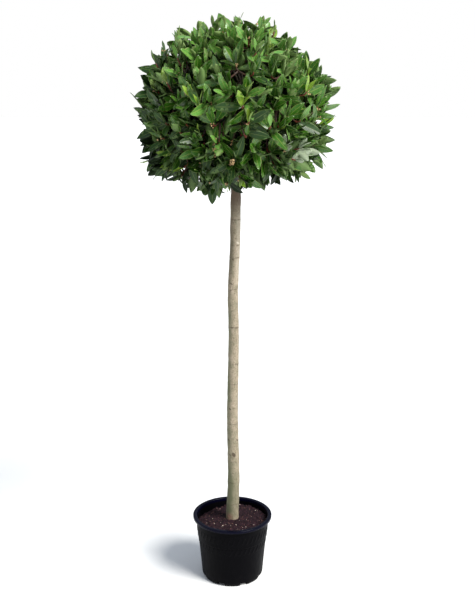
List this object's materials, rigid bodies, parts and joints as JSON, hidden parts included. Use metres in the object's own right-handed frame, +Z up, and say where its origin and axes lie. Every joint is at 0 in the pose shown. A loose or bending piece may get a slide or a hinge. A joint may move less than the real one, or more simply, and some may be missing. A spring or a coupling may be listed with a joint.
{
  "type": "standard bay topiary in a pot",
  "caption": "Clipped round head of bay leaves on a tall clear stem, growing in a round black plastic nursery pot filled with compost.",
  "frame": {"origin": "middle of the pot's flat underside, where it stands on the ground", "axes": "+Z up along the stem, +X to the right and +Y to the back, seen from the front"},
  "size_m": [0.6761, 0.6806, 1.9434],
  "materials": {
    "pot_plastic": "satin black moulded plastic",
    "compost": "damp, crumbly, dark brown",
    "bark": "smooth grey-buff bark with small scars",
    "leaf": "glossy evergreen leaves"
  },
  "bodies": {
    "root": {"pot": "pot_plastic", "compost": "compost", "trunk": "bark", "bough_top": "bark", "bough_front": "bark", "bough_front_right": "bark", "bough_back_right": "bark", "bough_back_left": "bark", "bough_front_left": "bark", "foliage_top": "leaf", "foliage_front": "leaf", "foliage_front_right": "leaf", "foliage_back_right": "leaf", "foliage_back_left": "leaf", "foliage_front_left": "leaf"}
  },
  "joints": []
}
